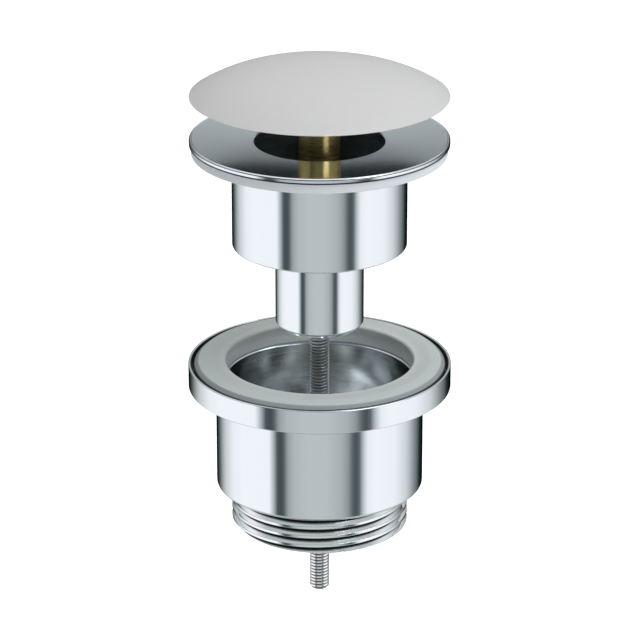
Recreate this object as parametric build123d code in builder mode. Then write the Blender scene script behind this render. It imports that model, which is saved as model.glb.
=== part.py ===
from build123d import *
from math import asin, cos, sin
import os

# Push-to-open basin waste with one central clamping bolt, shown open and with its clamp run down.
# Millimetres. Z is the waste's own axis, up. The origin is where that axis meets the basin's
# upper face, which is the underside of the flange gasket. A profile is drawn as (radius, height).

# Fits and small clearances
running_gap = 0.05
press_gap = 0.05
loose_gap = 0.3
small_chamfer = 0.3
edge_chamfer = 0.4

# Flange, collar and gasket
flange_radius = 30.15
flange_rim_thickness = 1.15
rim_bead_width = 0.7
rim_bead_rise = 0.1
rim_band_height = 0.6
rim_foot_chamfer = 0.2
rim_line_width = 0.2
rim_line_depth = 0.15
dish_depth = 0.83
flange_plate_thickness = 1.27
waste_hole_radius = 15.04
waste_hole_length = 2.3
collar_radius = 20.4
collar_length = 22.4
collar_wall = 1.7
collar_floor_thickness = 2.5
collar_edge_fillet = 0.3
gasket_radius = 29.7
gasket_edge_thickness = 2.5
gasket_lip_width = 0.65
gasket_edge_chamfer = 0.3
gasket_locating_step = 0.3

# Drain windows in the collar's floor
window_count = 4
window_spoke_width = 5.0
window_inner_radius = 12.9
window_outer_radius = 18.0

# Centre sleeve, its nut and its washer
sleeve_radius = 10.37
sleeve_length = 20.1
sleeve_bore_radius = 8.05
sleeve_spigot_radius = 9.2
sleeve_spigot_rise = 5.4
sleeve_floor_thickness = 3.0
sleeve_edge_chamfer = 0.9
sleeve_washer_radius = 12.4
sleeve_washer_thickness = 0.8
sleeve_nut_radius = 12.0
sleeve_nut_height = 3.0
sleeve_nut_slot_width = 3.0
sleeve_nut_slot_depth = 1.5
sleeve_nut_slots = 4

# Cartridge with the push mechanism
cartridge_seal_thickness = 0.8
housing_hex_flats = 18.0
housing_hex_height = 3.7
housing_neck_radius = 7.2
housing_neck_height = 3.0
housing_neck_chamfer = 0.5
housing_barrel_length = 21.0
guide_length = 5.0
chamber_radius = 6.7
o_ring_wire = 1.1
guide_rib_count = 8
guide_rib_width = 1.6
guide_rib_rise = 0.7
guide_rib_length = 7.5
end_cap_thickness = 1.2
end_cap_drain_radius = 1.5

# Push rod, pusher, rotor and spring
rod_radius = 4.8
rod_head_radius = 5.7
rod_head_height = 1.2
rod_spigot_radius = 2.95
rod_spigot_length = 4.3
plug_travel = 9.6
pusher_height = 1.7
tooth_height = 1.0
tooth_width = 3.4
rotor_height = 2.8
spring_wire = 0.8
spring_radius = 5.2
spring_turns = 5.5

# Cap, its carrier, insert and seal
cap_radius = 30.03
cap_crown_rise = 7.3
cap_crown_curve = 80.0
cap_shoulder_radius = 17.0
cap_metal = 1.0
cap_rim_width = 1.5
cap_rest_gap = 0.35
carrier_radius = 24.9
carrier_thickness = 2.0
carrier_boss_radius = 8.0
carrier_recess = 0.4
carrier_rib_count = 8
carrier_rib_width = 1.2
carrier_rib_height = 1.5
carrier_rib_reach = 19.5
cap_seal_inner_radius = 16.6
cap_seal_width = 2.3
cap_seal_height = 1.4
cap_seal_stand_out = 0.3
cap_seal_fillet = 0.2
insert_length = 4.8
insert_flange_radius = 6.2
insert_flange_thickness = 1.0
insert_hex_flats = 9.0

# Clamp below the basin
clamp_gap = 51.0
seal_rim_gap = 0.7
seal_bore_step = 0.05
seal_thickness = 4.9
seal_bevel_width = 0.9
seal_bevel_drop = 1.0
seal_ridge_radius = 25.6
seal_ridge_width = 1.6
seal_ridge_height = 0.12
seal_lip_height = 0.4
seal_wall_hollow = 1.1
seal_foot_inset = 0.5
clamp_ring_radius = 31.0
clamp_ring_height = 5.7
clamp_ring_edge_chamfer = 0.2
clamp_rim_thickness = 0.6
clamp_rim_height = 4.0
clamp_rim_chamfer = 0.15
cup_radius = 24.53
cup_length = 24.8
cup_wall = 2.53
cup_edge_fillet = 0.7
cup_mouth_chamfer = 0.5
cup_floor_chamfer = 1.0
cup_floor_thickness = 2.5

# Outlet thread, G 1 1/4 by ISO 228-1
thread_crest_radius = 20.955
thread_depth = 1.479
thread_pitch = 2.309
thread_crest_flat = 0.42
thread_root_flat = 0.42
thread_length = 9.9
thread_first_groove = 0.75
outlet_wall = 2.076
thread_overlap = 0.2

# Spider that holds the threaded bush
spoke_count = 3
spoke_width = 2.6
spoke_height = 5.0
spoke_overlap = 0.5
boss_radius = 5.4
boss_height = 7.0
boss_set_back = 1.0
bush_radius = 3.6
bush_head_radius = 4.6
bush_head_height = 0.8

# Clamping bolt with its washer and O-ring
bolt_radius = 2.3
bolt_length = 72.3
bolt_tip_chamfer = 0.5
bolt_head_radius = 4.25
bolt_head_height = 3.3
bolt_head_chamfer = 0.4
bolt_socket_flats = 4.0
bolt_socket_depth = 2.0
bolt_washer_radius = 6.5
bolt_washer_thickness = 1.0
bolt_hole_gap = 0.45
bolt_o_ring_wire = 1.2

# Heights that follow from the sizes above
flange_underside = gasket_edge_thickness
rim_top = flange_underside + flange_rim_thickness
dish_top = rim_top - rim_bead_rise
rim_line_bottom = flange_underside + rim_band_height
hole_edge = rim_top - dish_depth
plate_underside = hole_edge - flange_plate_thickness
collar_bottom = -collar_length
floor_top = collar_bottom + collar_floor_thickness
collar_bore_radius = collar_radius - collar_wall
locating_radius = collar_radius + gasket_locating_step

sleeve_bottom = collar_bottom - sleeve_length
sleeve_floor_top = sleeve_bottom + sleeve_floor_thickness
sleeve_top = floor_top + sleeve_spigot_rise
sleeve_washer_top = floor_top + sleeve_washer_thickness
sleeve_nut_top = sleeve_washer_top + sleeve_nut_height

housing_seat = sleeve_top + cartridge_seal_thickness
housing_hex_top = housing_seat + housing_hex_height
housing_top = housing_hex_top + housing_neck_height
housing_bottom = housing_seat - housing_barrel_length
barrel_radius = sleeve_bore_radius - press_gap - running_gap
chamber_top = housing_top - guide_length
end_cap_top = housing_bottom + end_cap_thickness
rod_o_ring_height = (housing_top + chamber_top) / 2
rod_o_ring_groove_radius = rod_radius + running_gap + o_ring_wire + press_gap

rod_head_bottom = chamber_top - rod_head_height
pusher_bottom = rod_head_bottom - pusher_height
rotor_top = pusher_bottom - loose_gap
rotor_bottom = rotor_top - rotor_height
spring_top = rotor_bottom
spring_bottom = end_cap_top

cap_rim = rim_top + cap_rest_gap + plug_travel
cap_apex = cap_rim + cap_crown_rise
carrier_bottom = cap_rim - carrier_recess
carrier_top = carrier_bottom + carrier_thickness
insert_flange_top = carrier_bottom + insert_flange_thickness
insert_top = carrier_bottom + insert_length

seal_top = -clamp_gap
seal_seat = seal_top - seal_thickness
clamp_rim_top = seal_seat + clamp_rim_height
clamp_ring_bottom = clamp_rim_top - clamp_ring_height
clamp_rim_inner_radius = clamp_ring_radius - clamp_rim_thickness
cup_bottom = clamp_ring_bottom - cup_length
cup_floor_top = cup_bottom + cup_floor_thickness
cup_bore_radius = cup_radius - cup_wall
seal_outer_radius = clamp_rim_inner_radius - seal_rim_gap
seal_inner_radius = cup_bore_radius + seal_bore_step
thread_bottom = cup_bottom - thread_length
thread_root_radius = thread_crest_radius - thread_depth
thread_flank = (thread_pitch - thread_crest_flat - thread_root_flat) / 2
first_groove_bottom = thread_bottom + thread_first_groove - thread_root_flat / 2
end_lip_radius = thread_root_radius + thread_depth * (first_groove_bottom - thread_bottom) / thread_flank
outlet_bore_radius = thread_root_radius - outlet_wall
boss_bottom = thread_bottom + boss_set_back
boss_top = boss_bottom + boss_height
bush_top = boss_top + bush_head_height

washer_top = sleeve_floor_top + bolt_washer_thickness
bolt_head_top = washer_top + bolt_head_height
bolt_tip = washer_top - bolt_length
bolt_o_ring_groove_depth = bolt_o_ring_wire + press_gap

os.makedirs("parts", exist_ok=True)


def turn(*points):
    """A solid turned about Z from a closed outline of straight lines, in the open part."""
    with BuildSketch(Plane.XZ) as outline:
        with BuildLine():
            Polyline(*points, close=True)
        make_face()
    revolve(outline.sketch, axis=Axis.Z)


def ring(outer_radius, inner_radius, bottom, top, mode=Mode.ADD):
    """A plain ring or, with no inner radius, a disc between two heights, in the open part."""
    with BuildSketch(Plane.XY.offset(bottom)) as outline:
        Circle(outer_radius)
        if inner_radius:
            Circle(inner_radius, mode=Mode.SUBTRACT)
    extrude(outline.sketch, amount=top - bottom, mode=mode)


def hexagon(across_flats, bottom, top, mode=Mode.ADD):
    """A hexagonal bar between two heights, in the open part."""
    with BuildSketch(Plane.XY.offset(bottom)) as outline:
        RegularPolygon(across_flats / 2, 6, major_radius=False)
    extrude(outline.sketch, amount=top - bottom, mode=mode)


def save(piece, name):
    piece.part.label = name
    export_step(piece.part, f"parts/{name}.step")


# Upper body: dished flange, collar and floor with drain windows
with BuildPart() as upper_body:
    bead_top_radius = flange_radius - rim_bead_width / 2
    with BuildSketch(Plane.XZ):
        with BuildLine():
            Polyline(
                (flange_radius - rim_bead_width, dish_top),
                (waste_hole_radius + small_chamfer, hole_edge),
                (waste_hole_radius, hole_edge - small_chamfer),
                (waste_hole_radius, hole_edge - waste_hole_length),
                (collar_bore_radius, hole_edge - waste_hole_length),
                (collar_bore_radius, collar_bottom),
                (collar_radius, collar_bottom),
                (collar_radius, 0),
                (locating_radius, 0),
                (locating_radius, plate_underside),
                (gasket_radius - gasket_lip_width - (flange_underside - plate_underside), plate_underside),
                (gasket_radius - gasket_lip_width, flange_underside),
                (flange_radius - rim_foot_chamfer, flange_underside),
                (flange_radius, flange_underside + rim_foot_chamfer),
                (flange_radius, rim_line_bottom),
                (flange_radius - rim_line_depth, rim_line_bottom + rim_line_width / 2),
                (flange_radius, rim_line_bottom + rim_line_width),
                (flange_radius, rim_top - rim_bead_width / 2),
            )
            ThreePointArc(
                (flange_radius, rim_top - rim_bead_width / 2),
                (bead_top_radius, rim_top),
                (flange_radius - rim_bead_width, dish_top),
            )
        make_face()
    revolve(axis=Axis.Z)
    ring(collar_bore_radius, sleeve_spigot_radius + press_gap, collar_bottom, floor_top)
    with BuildSketch(Plane.XY.offset(collar_bottom)):
        Circle(window_outer_radius)
        Circle(window_inner_radius, mode=Mode.SUBTRACT)
        with PolarLocations(collar_radius / 2, window_count, start_angle=180 / window_count):
            Rectangle(collar_radius, window_spoke_width, mode=Mode.SUBTRACT)
    extrude(amount=collar_floor_thickness, mode=Mode.SUBTRACT)
    lower_edges = upper_body.edges().filter_by(GeomType.CIRCLE).filter_by(
        lambda edge: abs(edge.radius - collar_radius) < 0.01 and abs(edge.center().Z - collar_bottom) < 0.01
    )
    fillet(lower_edges, radius=collar_edge_fillet)
save(upper_body, "upper_body")

# Gasket under the flange, with a raised lip round its edge
with BuildPart() as flange_gasket:
    lip_inside = gasket_radius - gasket_lip_width + press_gap
    turn(
        (locating_radius + press_gap, 0),
        (gasket_radius - gasket_edge_chamfer, 0),
        (gasket_radius, gasket_edge_chamfer),
        (gasket_radius, gasket_edge_thickness),
        (lip_inside, gasket_edge_thickness),
        (lip_inside - (gasket_edge_thickness - plate_underside), plate_underside),
        (locating_radius + press_gap, plate_underside),
    )
save(flange_gasket, "flange_gasket")

# Centre sleeve that carries the cartridge and the head of the clamping bolt
with BuildPart() as centre_sleeve:
    turn(
        (0, sleeve_bottom),
        (sleeve_radius - sleeve_edge_chamfer, sleeve_bottom),
        (sleeve_radius, sleeve_bottom + sleeve_edge_chamfer),
        (sleeve_radius, collar_bottom),
        (sleeve_spigot_radius, collar_bottom),
        (sleeve_spigot_radius, sleeve_top - small_chamfer),
        (sleeve_spigot_radius - small_chamfer, sleeve_top),
        (0, sleeve_top),
    )
    ring(sleeve_bore_radius, 0, sleeve_floor_top, sleeve_top, mode=Mode.SUBTRACT)
    ring(bolt_radius + bolt_hole_gap, 0, sleeve_bottom, sleeve_floor_top, mode=Mode.SUBTRACT)
    ring(
        bolt_radius + bolt_hole_gap / 2 + bolt_o_ring_wire + press_gap,
        0,
        sleeve_floor_top - bolt_o_ring_groove_depth,
        sleeve_floor_top,
        mode=Mode.SUBTRACT,
    )
save(centre_sleeve, "centre_sleeve")

# Fibre washer and slotted ring nut that hold the sleeve in the collar's floor
with BuildPart() as sleeve_washer:
    ring(sleeve_washer_radius, sleeve_spigot_radius + press_gap, floor_top, sleeve_washer_top)
save(sleeve_washer, "sleeve_washer")

with BuildPart() as sleeve_nut:
    turn(
        (sleeve_spigot_radius + press_gap, sleeve_washer_top),
        (sleeve_nut_radius, sleeve_washer_top),
        (sleeve_nut_radius, sleeve_nut_top - edge_chamfer),
        (sleeve_nut_radius - edge_chamfer, sleeve_nut_top),
        (sleeve_spigot_radius + press_gap + small_chamfer, sleeve_nut_top),
        (sleeve_spigot_radius + press_gap, sleeve_nut_top - small_chamfer),
    )
    with BuildSketch(Plane.XY.offset(sleeve_nut_top)):
        with PolarLocations(sleeve_nut_radius, sleeve_nut_slots, start_angle=45):
            Rectangle(2 * sleeve_nut_slot_depth, sleeve_nut_slot_width)
    extrude(amount=-sleeve_nut_height, mode=Mode.SUBTRACT)
save(sleeve_nut, "sleeve_nut")

# Cartridge housing: barrel in the sleeve, hexagon to turn it by, neck that guides the rod
with BuildPart() as cartridge_housing:
    turn(
        (0, housing_bottom),
        (barrel_radius - edge_chamfer, housing_bottom),
        (barrel_radius, housing_bottom + edge_chamfer),
        (barrel_radius, housing_seat),
        (0, housing_seat),
    )
    hexagon(housing_hex_flats, housing_seat, housing_hex_top)
    ring(housing_neck_radius, 0, housing_hex_top, housing_top)
    chamfer(cartridge_housing.faces().sort_by(Axis.Z)[-1].edges(), length=housing_neck_chamfer)
    ring(rod_radius + running_gap, 0, chamber_top, housing_top, mode=Mode.SUBTRACT)
    ring(
        rod_o_ring_groove_radius,
        0,
        rod_o_ring_height - o_ring_wire / 2 - press_gap,
        rod_o_ring_height + o_ring_wire / 2 + press_gap,
        mode=Mode.SUBTRACT,
    )
    ring(chamber_radius, 0, housing_bottom, chamber_top, mode=Mode.SUBTRACT)
    with BuildSketch(Plane.XY.offset(chamber_top)):
        with PolarLocations(chamber_radius, guide_rib_count):
            Rectangle(2 * guide_rib_rise, guide_rib_width)
        Circle(chamber_radius + guide_rib_rise / 2, mode=Mode.INTERSECT)
    extrude(amount=-guide_rib_length)
save(cartridge_housing, "cartridge_housing")

with BuildPart() as cartridge_end_cap:
    ring(chamber_radius - press_gap, end_cap_drain_radius, housing_bottom, end_cap_top)
save(cartridge_end_cap, "cartridge_end_cap")

with BuildPart() as cartridge_seal:
    ring(sleeve_spigot_radius - press_gap, sleeve_bore_radius, sleeve_top, housing_seat)
save(cartridge_seal, "cartridge_seal")

with BuildPart() as rod_o_ring:
    with Locations((0, 0, rod_o_ring_height)):
        Torus(rod_radius + running_gap + o_ring_wire / 2, o_ring_wire / 2)
save(rod_o_ring, "rod_o_ring")

# Push rod with its stop head inside the chamber and its screwed spigot in the cap's insert
with BuildPart() as push_rod:
    rod_top = carrier_bottom + rod_spigot_length
    turn(
        (0, rod_head_bottom),
        (rod_head_radius - small_chamfer, rod_head_bottom),
        (rod_head_radius, rod_head_bottom + small_chamfer),
        (rod_head_radius, chamber_top),
        (rod_radius, chamber_top),
        (rod_radius, carrier_bottom - small_chamfer),
        (rod_radius - small_chamfer, carrier_bottom),
        (rod_spigot_radius, carrier_bottom),
        (rod_spigot_radius, rod_top - edge_chamfer),
        (rod_spigot_radius - edge_chamfer, rod_top),
        (0, rod_top),
    )
save(push_rod, "push_rod")

# Pusher crown: keyed between the ribs of the housing, with teeth that turn the rotor
guide_radius = chamber_radius - guide_rib_rise - loose_gap / 2
key_radius = chamber_radius - loose_gap / 2


def cut_rib_slots(bottom, top):
    """Slots in the open part that leave room for the ribs of the housing."""
    with BuildSketch(Plane.XY.offset(bottom)) as slots:
        with PolarLocations(chamber_radius, guide_rib_count):
            Rectangle(2 * (chamber_radius - guide_radius), guide_rib_width + 2 * loose_gap)
    extrude(slots.sketch, amount=top - bottom, mode=Mode.SUBTRACT)


def teeth(root, tip, width, mode=Mode.ADD):
    """A crown of wedges that lie along the radii, from a root height down to a tip height."""
    for number in range(guide_rib_count):
        with BuildSketch(Plane.YZ.rotated((0, 0, 360 * (number + 0.5) / guide_rib_count))) as wedge:
            with BuildLine():
                Polyline((-width / 2, root), (0, tip), (width / 2, root), close=True)
            make_face()
        extrude(wedge.sketch, amount=guide_radius, mode=mode)


with BuildPart() as cam_pusher:
    teeth(pusher_bottom, pusher_bottom - tooth_height, tooth_width)
    ring(spring_radius - 2 * spring_wire, 0, pusher_bottom - tooth_height, pusher_bottom, mode=Mode.SUBTRACT)
    ring(key_radius, 0, pusher_bottom, rod_head_bottom)
    cut_rib_slots(pusher_bottom - tooth_height, rod_head_bottom)
save(cam_pusher, "cam_pusher")

# Rotor: notched to match the crown, with fins that run between the ribs and a spring seat below
with BuildPart() as cam_rotor:
    ring(key_radius, 0, rotor_bottom, rotor_top)
    cut_rib_slots(rotor_bottom, rotor_top)
    teeth(rotor_top, rotor_top - tooth_height, tooth_width + loose_gap, mode=Mode.SUBTRACT)
save(cam_rotor, "cam_rotor")

# Return spring between the rotor and the end cap
with BuildPart() as return_spring:
    spring_height = spring_top - spring_bottom - spring_wire
    with BuildLine() as spring_line:
        Helix(
            pitch=spring_height / spring_turns,
            height=spring_height,
            radius=spring_radius,
            center=(0, 0, spring_bottom + spring_wire / 2),
        )
    with BuildSketch(Plane(origin=spring_line.line @ 0, z_dir=spring_line.line % 0)):
        Circle(spring_wire / 2 - press_gap / 2)
    sweep(path=spring_line.line, is_frenet=True)
save(return_spring, "return_spring")


# Cap: a thin dome, flatter at the crown and rounder at the shoulder
def dome(apex, crown_radius, edge_radius, edge):
    """Outline from the crown down to the edge: a wide arc, then a tighter one tangent to it."""
    start_angle = asin(cap_shoulder_radius / cap_crown_curve)
    shoulder = (crown_radius * sin(start_angle), apex - crown_radius * (1 - cos(start_angle)))
    crown = RadiusArc((0, apex), shoulder, crown_radius)
    TangentArc(crown @ 1, (edge_radius, edge), tangent=crown % 1)


with BuildPart() as cap_cover:
    with BuildSketch(Plane.XZ):
        with BuildLine():
            dome(cap_apex, cap_crown_curve, cap_radius, cap_rim)
            Polyline((cap_radius, cap_rim), (0, cap_rim), (0, cap_apex))
        make_face()
        with BuildLine():
            inner_rim_radius = cap_radius - cap_rim_width
            dome(cap_apex - cap_metal, cap_crown_curve - cap_metal, inner_rim_radius, cap_rim)
            Polyline((inner_rim_radius, cap_rim), (0, cap_rim), (0, cap_apex - cap_metal))
        make_face(mode=Mode.SUBTRACT)
    revolve(axis=Axis.Z)
save(cap_cover, "cap_cover")

# Carrier disc inside the cap, with a groove for the seal and a boss for the insert
with BuildPart() as cap_carrier:
    turn(
        (0, carrier_bottom),
        (carrier_radius - small_chamfer, carrier_bottom),
        (carrier_radius, carrier_bottom + small_chamfer),
        (carrier_radius, carrier_top),
        (0, carrier_top),
    )
    with BuildSketch(Plane.XY.offset(carrier_top)):
        with PolarLocations(carrier_rib_reach / 2, carrier_rib_count):
            Rectangle(carrier_rib_reach, carrier_rib_width)
    extrude(amount=carrier_rib_height)
    ring(carrier_boss_radius, 0, carrier_top, insert_top)
    ring(insert_flange_radius + press_gap, 0, carrier_bottom, insert_flange_top, mode=Mode.SUBTRACT)
    hexagon(insert_hex_flats + 2 * press_gap, carrier_bottom, insert_top, mode=Mode.SUBTRACT)
    ring(
        cap_seal_inner_radius + cap_seal_width + press_gap,
        cap_seal_inner_radius - press_gap,
        carrier_bottom,
        carrier_bottom + cap_seal_height - cap_seal_stand_out,
        mode=Mode.SUBTRACT,
    )
save(cap_carrier, "cap_carrier")

with BuildPart() as cap_seal:
    ring(
        cap_seal_inner_radius + cap_seal_width,
        cap_seal_inner_radius,
        carrier_bottom - cap_seal_stand_out,
        carrier_bottom - cap_seal_stand_out + cap_seal_height,
    )
    fillet(cap_seal.faces().sort_by(Axis.Z)[0].edges(), radius=cap_seal_fillet)
save(cap_seal, "cap_seal")

with BuildPart() as cap_insert:
    ring(insert_flange_radius, 0, carrier_bottom, insert_flange_top)
    hexagon(insert_hex_flats, insert_flange_top, insert_top)
    ring(rod_spigot_radius + press_gap, 0, carrier_bottom, rod_top + press_gap, mode=Mode.SUBTRACT)
save(cap_insert, "cap_insert")

# Clamping bolt, turned from above through the sleeve
with BuildPart() as clamp_bolt:
    turn(
        (0, bolt_tip),
        (bolt_radius - bolt_tip_chamfer, bolt_tip),
        (bolt_radius, bolt_tip + bolt_tip_chamfer),
        (bolt_radius, washer_top),
        (bolt_head_radius, washer_top),
        (bolt_head_radius, bolt_head_top - bolt_head_chamfer),
        (bolt_head_radius - bolt_head_chamfer, bolt_head_top),
        (0, bolt_head_top),
    )
    hexagon(bolt_socket_flats, bolt_head_top - bolt_socket_depth, bolt_head_top, mode=Mode.SUBTRACT)
save(clamp_bolt, "clamp_bolt")

with BuildPart() as bolt_washer:
    ring(bolt_washer_radius, bolt_radius + press_gap, sleeve_floor_top, washer_top)
save(bolt_washer, "bolt_washer")

with BuildPart() as bolt_o_ring:
    with Locations((0, 0, sleeve_floor_top - bolt_o_ring_groove_depth / 2)):
        Torus(bolt_radius + (bolt_hole_gap + bolt_o_ring_wire) / 2, bolt_o_ring_wire / 2)
save(bolt_o_ring, "bolt_o_ring")

# Rubber seal that presses on the basin from below
with BuildPart() as lower_seal:
    ridge_foot = seal_top - seal_ridge_height
    turn(
        (seal_inner_radius + seal_foot_inset, seal_seat),
        (seal_outer_radius, seal_seat),
        (seal_outer_radius, ridge_foot - seal_bevel_drop),
        (seal_outer_radius - seal_bevel_width, ridge_foot),
        (seal_ridge_radius + seal_ridge_width, ridge_foot),
        (seal_ridge_radius + seal_ridge_width / 2, seal_top),
        (seal_ridge_radius - seal_ridge_width / 2, seal_top),
        (seal_ridge_radius - seal_ridge_width, ridge_foot),
        (seal_inner_radius, ridge_foot),
        (seal_inner_radius, ridge_foot - seal_lip_height),
        (seal_inner_radius + seal_wall_hollow, (ridge_foot + seal_seat) / 2),
    )
save(lower_seal, "lower_seal")

# Clamp body: ring that holds the seal, cup, threaded outlet and spider
with BuildPart() as lower_body:
    turn(
        (outlet_bore_radius, thread_bottom),
        (end_lip_radius, thread_bottom),
        (thread_root_radius, first_groove_bottom),
        (thread_root_radius, cup_bottom),
        (cup_radius, cup_bottom),
        (cup_radius, clamp_ring_bottom),
        (clamp_ring_radius - clamp_ring_edge_chamfer, clamp_ring_bottom),
        (clamp_ring_radius, clamp_ring_bottom + clamp_ring_edge_chamfer),
        (clamp_ring_radius, clamp_rim_top - clamp_rim_chamfer),
        (clamp_ring_radius - clamp_rim_chamfer, clamp_rim_top),
        (clamp_rim_inner_radius, clamp_rim_top),
        (clamp_rim_inner_radius, seal_seat),
        (cup_bore_radius + cup_mouth_chamfer, seal_seat),
        (cup_bore_radius, seal_seat - cup_mouth_chamfer),
        (cup_bore_radius, cup_floor_top + cup_floor_chamfer),
        (cup_bore_radius - cup_floor_chamfer, cup_floor_top),
        (outlet_bore_radius + edge_chamfer, cup_floor_top),
        (outlet_bore_radius, cup_floor_top - edge_chamfer),
    )
    outer_cup_edge = lower_body.edges().filter_by(GeomType.CIRCLE).filter_by(
        lambda edge: abs(edge.radius - cup_radius) < 0.01 and abs(edge.center().Z - cup_bottom) < 0.01
    )
    fillet(outer_cup_edge, radius=cup_edge_fillet)
    crest_count = int((thread_length + thread_root_flat / 2 - thread_first_groove) / thread_pitch)
    for number in range(crest_count):
        crest = thread_bottom + thread_first_groove + (number + 0.5) * thread_pitch
        turn(
            (thread_root_radius - thread_overlap, crest - thread_crest_flat / 2 - thread_flank),
            (thread_root_radius, crest - thread_crest_flat / 2 - thread_flank),
            (thread_crest_radius, crest - thread_crest_flat / 2),
            (thread_crest_radius, crest + thread_crest_flat / 2),
            (thread_root_radius, crest + thread_crest_flat / 2 + thread_flank),
            (thread_root_radius - thread_overlap, crest + thread_crest_flat / 2 + thread_flank),
        )
    ring(boss_radius, 0, boss_bottom, boss_top)
    with BuildSketch(Plane.XY.offset(boss_bottom + (boss_height - spoke_height) / 2)):
        with PolarLocations(outlet_bore_radius / 2, spoke_count, start_angle=60):
            Rectangle(outlet_bore_radius + 2 * spoke_overlap, spoke_width)
    extrude(amount=spoke_height)
    ring(bush_radius + press_gap, 0, boss_bottom, boss_top, mode=Mode.SUBTRACT)
save(lower_body, "lower_body")

# Threaded bush in the spider, which climbs the bolt
with BuildPart() as bolt_bush:
    ring(bush_radius, 0, boss_bottom, boss_top)
    turn(
        (0, boss_top),
        (bush_head_radius, boss_top),
        (bush_head_radius, bush_top - small_chamfer),
        (bush_head_radius - small_chamfer, bush_top),
        (0, bush_top),
    )
    ring(bolt_radius + running_gap, 0, boss_bottom, bush_top, mode=Mode.SUBTRACT)
save(bolt_bush, "bolt_bush")
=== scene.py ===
import math

import bmesh
import bpy
from mathutils import Matrix, Vector


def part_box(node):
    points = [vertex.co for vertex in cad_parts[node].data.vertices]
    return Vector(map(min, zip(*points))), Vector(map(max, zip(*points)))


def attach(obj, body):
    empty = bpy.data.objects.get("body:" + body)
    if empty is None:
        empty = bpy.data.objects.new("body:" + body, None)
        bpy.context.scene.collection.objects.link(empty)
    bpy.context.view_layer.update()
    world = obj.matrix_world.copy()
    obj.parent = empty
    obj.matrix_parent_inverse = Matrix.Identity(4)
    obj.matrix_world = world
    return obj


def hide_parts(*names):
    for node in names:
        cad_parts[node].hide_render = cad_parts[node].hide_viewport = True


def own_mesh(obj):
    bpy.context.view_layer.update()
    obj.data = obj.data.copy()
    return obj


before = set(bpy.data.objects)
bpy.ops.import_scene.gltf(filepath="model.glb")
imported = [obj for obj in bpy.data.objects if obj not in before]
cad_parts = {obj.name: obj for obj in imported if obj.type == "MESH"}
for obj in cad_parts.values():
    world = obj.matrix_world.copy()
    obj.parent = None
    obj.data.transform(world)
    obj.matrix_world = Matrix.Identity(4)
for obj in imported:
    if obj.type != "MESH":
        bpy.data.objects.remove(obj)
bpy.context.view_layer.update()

# Millimetres are turned into the scene's metres by this factor
MM = 0.001
# Faces round the wide turned pieces
COLUMNS = 192


def low(node):
    return Vector(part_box(node)[0])


def high(node):
    return Vector(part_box(node)[1])


# Sizes taken from the frame, in metres
flange_radius = high("upper_body").x
rim_top = high("upper_body").z
collar_bottom = low("upper_body").z
gasket_radius = high("flange_gasket").x
gasket_edge = high("flange_gasket").z
sleeve_radius = high("centre_sleeve").x
sleeve_bottom = low("centre_sleeve").z
sleeve_top = high("centre_sleeve").z
cap_radius = high("cap_cover").x
cap_rim = low("cap_cover").z
cap_apex = high("cap_cover").z
rod_head_bottom = low("push_rod").z
rod_top = high("push_rod").z
insert_bottom = low("cap_insert").z
seal_top = high("lower_seal").z
seal_seat = low("lower_seal").z
seal_outer_radius = high("lower_seal").x
clamp_ring_radius = high("lower_body").x
clamp_rim_top = high("lower_body").z
thread_bottom = low("lower_body").z
bolt_tip = low("clamp_bolt").z
bolt_head_top = high("clamp_bolt").z
washer_top = high("bolt_washer").z

# Sizes inside the pieces, which a bounding box doesn't give
collar_radius = 20.4 * MM
collar_bore_radius = 18.7 * MM
collar_floor = 2.5 * MM
collar_locating_radius = 20.7 * MM
waste_hole_radius = 15.04 * MM
waste_hole_length = 2.3 * MM
rim_thickness = 1.15 * MM
rim_stand = 0.1 * MM
dish_depth = 0.83 * MM
plate_thickness = 1.27 * MM
window_inner_radius = 12.9 * MM
window_outer_radius = 18.0 * MM
window_spoke_width = 5.0 * MM
window_count = 4
sleeve_bore_radius = 8.05 * MM
sleeve_spigot_radius = 9.2 * MM
sleeve_floor = 3.0 * MM
rod_radius = 4.8 * MM
rod_head_radius = 5.7 * MM
rod_head_height = 1.2 * MM
rod_spigot_radius = 2.95 * MM
seal_inner_radius = 22.05 * MM
spring_radius = 5.2 * MM
spring_wire_size = 0.76 * MM
spring_turns = 5.5
clamp_rim_wall = 0.6 * MM
clamp_ring_height = 5.7 * MM
cup_radius = 24.53 * MM
cup_bore_radius = 22.0 * MM
cup_length = 24.8 * MM
cup_floor = 2.5 * MM
outlet_bore_radius = 17.4 * MM
thread_crest_radius = 20.955 * MM
thread_root_radius = 19.476 * MM
thread_pitch = 2.309 * MM
thread_first_groove = 0.75 * MM
boss_radius = 5.4 * MM
boss_height = 7.0 * MM
boss_set_back = 1.0 * MM
bush_radius = 3.6 * MM
spoke_count = 3
spoke_width = 2.6 * MM
spoke_height = 5.0 * MM
bolt_radius = 2.3 * MM
bolt_pitch = 0.8 * MM
bolt_thread_depth = 0.36 * MM
bolt_tip_chamfer = 0.5 * MM
bolt_head_radius = 4.25 * MM
bolt_socket_radius = 2.31 * MM
bolt_socket_depth = 2.0 * MM

# Heights that follow
rod_head_top = rod_head_bottom + rod_head_height
dish_top = gasket_edge + rim_thickness - rim_stand
hole_edge = gasket_edge + rim_thickness - dish_depth
plate_underside = hole_edge - plate_thickness
floor_top = collar_bottom + collar_floor
clamp_ring_bottom = clamp_rim_top - clamp_ring_height
cup_bottom = clamp_ring_bottom - cup_length
cup_floor_top = cup_bottom + cup_floor


# Outlines: lists of (radius, height, rounding radius), rounded by arcs and turned about Z

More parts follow.
